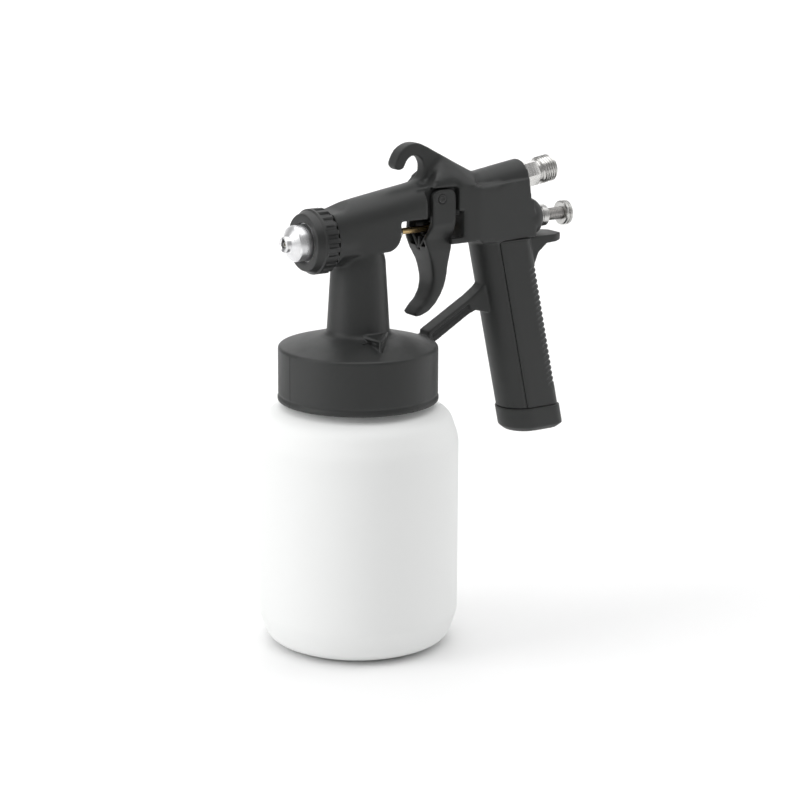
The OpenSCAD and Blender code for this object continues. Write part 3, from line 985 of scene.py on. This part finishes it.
class SPRAYGUN_OT_siphon(PieceOperator, bpy.types.Operator):
    """Makes the siphon nipple in the stem and the tube that hangs into the cup"""
    bl_idname = "spraygun.siphon"
    bl_label = "Siphon nipple and tube"

    def execute(self, context):
        low, high = box("siphon_nipple")
        radius = (high.x - low.x) / 2
        step = 142.0
        bm = lathe([(low.z, 1.7, 0.1), (low.z, 2.3, 0.3), (low.z + 2, 2.6, 0.4),
                    (low.z + 5, 2.35, 0.2),
                    (low.z + 5.2, 2.6, 0.2), (low.z + 9, 2.35, 0.2), (low.z + 9.2, 2.6, 0.2),
                    (step, 2.6, 0.1), (step, radius, 0.3), (high.z, radius, 0.4),
                    (high.z, 1.7, 0.2)],
                   ON_CUP, 64)
        piece(object_of("siphon_nipple_turned", bm), "gun", brass(), ["siphon_nipple"], 30)
        low, high = box("siphon_tube")
        outer = (high.x - low.x) / 2
        inner = 2.6
        tube = lathe([(low.z, inner, 0), (low.z, outer, 0), (60, outer, 0), (high.z, outer, 0.3),
                      (high.z, inner, 0.2), (60, inner, 0)], ON_CUP, 64)
        slant = math.radians(30)
        bmesh.ops.bisect_plane(tube, geom=tube.verts[:] + tube.edges[:] + tube.faces[:],
                               plane_co=(0, 0, 8), plane_no=(-math.sin(slant), 0, -math.cos(slant)),
                               clear_outer=True)
        bmesh.ops.bridge_loops(tube, edges=[e for e in tube.edges if e.is_boundary])
        bmesh.ops.recalc_face_normals(tube, faces=tube.faces)
        piece(object_of("siphon_tube_cut", tube), "gun",
              milky_plastic("tube_plastic", (0.80, 0.82, 0.80), 2.0), ["siphon_tube"], 40)
        return {"FINISHED"}


class SPRAYGUN_OT_cup(PieceOperator, bpy.types.Operator):
    """Makes the paint cup with its threaded neck, and the gasket on top of it"""
    bl_idname = "spraygun.cup"
    bl_label = "Cup and gasket"

    def execute(self, context):
        low, high = box("paint_cup")
        radius = (high.x - low.x) / 2
        wall = 2.2
        neck = 31.6
        shoulder = 114.0
        foot = 14.0
        bend = 15.0
        outside = [(0, 0), (0, radius - foot, 1.2), (0.6, radius - foot + 3, 3),
                   (3.6, radius - 3.9, 12),
                   (foot + 2, radius, 12), (shoulder - bend, radius, 16),
                   (shoulder - 3.4, radius - 4.0, 16), (shoulder - 0.4, radius - 10.6, 10),
                   (shoulder + 2.4, neck + 0.3, 1.5), (high.z, neck, 0.5)]
        inside = [(high.z, neck - wall, 0.5), (shoulder - wall, neck - wall, 1.5),
                  (shoulder - wall, radius - bend, 10),
                  (shoulder - 3.6 - wall * 0.7, radius - 4 - wall * 0.7, 14),
                  (shoulder - bend, radius - wall, 14), (foot + 2, radius - wall, 11),
                  (4.6 + wall * 0.4, radius - 4.6 - wall * 0.5, 10), (wall, radius - foot, 8),
                  (wall, 0)]
        bm = lathe(outside + inside, ON_CUP, 128)
        ridge = bmesh.new()
        crest = [ridge.verts.new((r, 0, z)) for r, z in
                 ((neck - 0.3, 119.6), (neck + 1.2, 120.4), (neck + 1.2, 121.3),
                  (neck - 0.3, 122.2))]
        rim = [ridge.edges.new((crest[i], crest[(i + 1) % 4])) for i in range(4)]
        turns = 1.4
        steps = 140
        bmesh.ops.spin(ridge, geom=crest + rim, cent=(0, 0, 0), axis=(0, 0, 1),
                       angle=2 * math.pi * turns, steps=steps, dvec=(0, 0, 6.0 * turns / steps))
        bmesh.ops.holes_fill(ridge, edges=[e for e in ridge.edges if e.is_boundary], sides=0)
        made = object_of("paint_cup_moulding", join(bm, settle(ridge)))
        piece(made, "cup", milky_plastic("cup_plastic", tuple(colours().cup)),
              ["paint_cup"], 40)
        low, high = box("cup_gasket")
        rim = (high.x - low.x) / 2
        gasket = lathe([(low.z, 28, 0.3), (low.z, rim, 0.5), (high.z, rim, 0.5), (high.z, 28, 0.3)],
                       ON_CUP, 128)
        piece(object_of("cup_gasket_ring", gasket), "gasket",
              soft_seal("gasket_rubber", (0.72, 0.70, 0.64)), ["cup_gasket"], 40)
        return {"FINISHED"}


# ---- Stage ----

CAMERA_AT = Vector((-637.995, -973.871, 407.753))
CAMERA_LOOKS = Vector((0.54508514, 0.802393, -0.24299724))
CAMERA_ROLL = math.radians(0.294)


def camera():
    """The camera, about 1.2 metres away, 34 degrees round from the gun's side."""
    data = bpy.data.cameras.new("camera")
    data.lens = 116.0
    data.sensor_width = 36.0
    data.clip_end = 50
    made = bpy.data.objects.new("camera", data)
    bpy.context.scene.collection.objects.link(made)
    level = CAMERA_LOOKS.cross(Vector((0, 0, 1))).normalized()
    up = level.cross(CAMERA_LOOKS).normalized()
    right = level * math.cos(CAMERA_ROLL) + up * math.sin(CAMERA_ROLL)
    up = up * math.cos(CAMERA_ROLL) - level * math.sin(CAMERA_ROLL)
    turn = Matrix((right, up, -CAMERA_LOOKS)).transposed()
    made.matrix_world = Matrix.Translation(CAMERA_AT * MM) @ turn.to_4x4()
    bpy.context.scene.camera = made


def softbox(name, at, target, size, power):
    data = bpy.data.lights.new(name, "AREA")
    data.shape = "RECTANGLE"
    data.size, data.size_y = size
    data.energy = power
    made = bpy.data.objects.new(name, data)
    made.location = at
    made.rotation_euler = (Vector(at) - Vector(target)).to_track_quat("Z", "Y").to_euler()
    bpy.context.scene.collection.objects.link(made)


def studio_floor():
    """A pale sweep: a floor that curves up into a back wall."""
    sweep_r = 0.8
    back = 2.4
    bm = bmesh.new()
    outline = [(-3.0, 0.0, 0), (back, 0.0, sweep_r), (back, 3.5, 0)]
    verts = [bm.verts.new((-4.5, along, up)) for along, up in rounded(outline, False)]
    edges = [bm.edges.new(pair) for pair in zip(verts, verts[1:])]
    made = bmesh.ops.extrude_edge_only(bm, edges=edges)
    moved = [g for g in made["geom"] if isinstance(g, bmesh.types.BMVert)]
    bmesh.ops.translate(bm, vec=(9, 0, 0), verts=moved)
    bmesh.ops.rotate(bm, cent=(0, 0, 0), verts=bm.verts,
                     matrix=Matrix.Rotation(math.radians(-33), 3, "Z"))
    bmesh.ops.recalc_face_normals(bm, faces=bm.faces)
    mesh = bpy.data.meshes.new("studio_floor")
    bm.to_mesh(mesh)
    bm.free()
    for polygon in mesh.polygons:
        polygon.use_smooth = True
    floor = bpy.data.objects.new("studio_floor", mesh)
    bpy.context.scene.collection.objects.link(floor)
    s = Shader("pale_floor")
    tone = s.blend(s.noise(3, 2), (0.90, 0.90, 0.90), (0.93, 0.93, 0.93))
    s.set(Base_Color=tone, Roughness=0.9)
    mesh.materials.append(s.material)


class SPRAYGUN_OT_studio(PieceOperator, bpy.types.Operator):
    """Makes the pale floor, the soft lights, the surroundings and the camera"""
    bl_idname = "spraygun.studio"
    bl_label = "Studio"

    def execute(self, context):
        studio_floor()
        camera()
        power = context.scene.spraygun_studio.key_power
        target = (0.03, 0, 0.13)
        softbox("left_light", (-1.3, 0.35, 0.6), target, (0.8, 1.4), 1.3 * power)
        softbox("right_light", (1.25, -0.35, 0.6), target, (0.7, 1.4), 0.5 * power)
        softbox("wall_light", (0.6, 0.9, 1.6), (1.3, 2.0, 0.9), (1.6, 0.8), 2.5 * power)
        softbox("top_light", (0.0, 0.1, 2.2), target, (3.0, 3.0),
                context.scene.spraygun_studio.overhead_power)
        world = bpy.data.worlds.new("white_surroundings")
        world.use_nodes = True
        background = world.node_tree.nodes["Background"]
        background.inputs["Color"].default_value = (1, 1, 1, 1)
        background.inputs["Strength"].default_value = context.scene.spraygun_studio.world_strength
        context.scene.world = world
        context.scene.view_settings.view_transform = "Standard"
        return {"FINISHED"}


PIECES = (
    SPRAYGUN_OT_shell, SPRAYGUN_OT_insert, SPRAYGUN_OT_end_cap, SPRAYGUN_OT_ring,
    SPRAYGUN_OT_air_cap, SPRAYGUN_OT_nozzle, SPRAYGUN_OT_needle, SPRAYGUN_OT_packing,
    SPRAYGUN_OT_spring, SPRAYGUN_OT_adjuster, SPRAYGUN_OT_trigger, SPRAYGUN_OT_pins,
    SPRAYGUN_OT_inlet, SPRAYGUN_OT_siphon, SPRAYGUN_OT_cup, SPRAYGUN_OT_studio,
)


class SPRAYGUN_PT_panel(bpy.types.Panel):
    """The sidebar panel with the settings and one button for each piece"""
    bl_idname = "SPRAYGUN_PT_panel"
    bl_label = "Spray gun"
    bl_space_type = "VIEW_3D"
    bl_region_type = "UI"
    bl_category = "Spray gun"

    def draw(self, context):
        scene = context.scene
        for group in (scene.spraygun_sizes, scene.spraygun_colours, scene.spraygun_studio):
            column = self.layout.column(align=True)
            for key in group.bl_rna.properties.keys():
                if key not in ("rna_type", "name"):
                    column.prop(group, key)
        for operator in PIECES:
            self.layout.operator(operator.bl_idname)


GROUPS = (SPRAYGUN_PG_sizes, SPRAYGUN_PG_colours, SPRAYGUN_PG_studio)


def register():
    for cls in GROUPS + PIECES + (SPRAYGUN_PT_panel,):
        bpy.utils.register_class(cls)
    bpy.types.Scene.spraygun_sizes = PointerProperty(type=SPRAYGUN_PG_sizes)
    bpy.types.Scene.spraygun_colours = PointerProperty(type=SPRAYGUN_PG_colours)
    bpy.types.Scene.spraygun_studio = PointerProperty(type=SPRAYGUN_PG_studio)


def unregister():
    del bpy.types.Scene.spraygun_studio
    del bpy.types.Scene.spraygun_colours
    del bpy.types.Scene.spraygun_sizes
    for cls in reversed(GROUPS + PIECES + (SPRAYGUN_PT_panel,)):
        bpy.utils.unregister_class(cls)


def main():
    register()
    for operator in PIECES:
        group, name = operator.bl_idname.split(".")
        getattr(getattr(bpy.ops, group), name)()


if __name__ == "__main__":
    main()
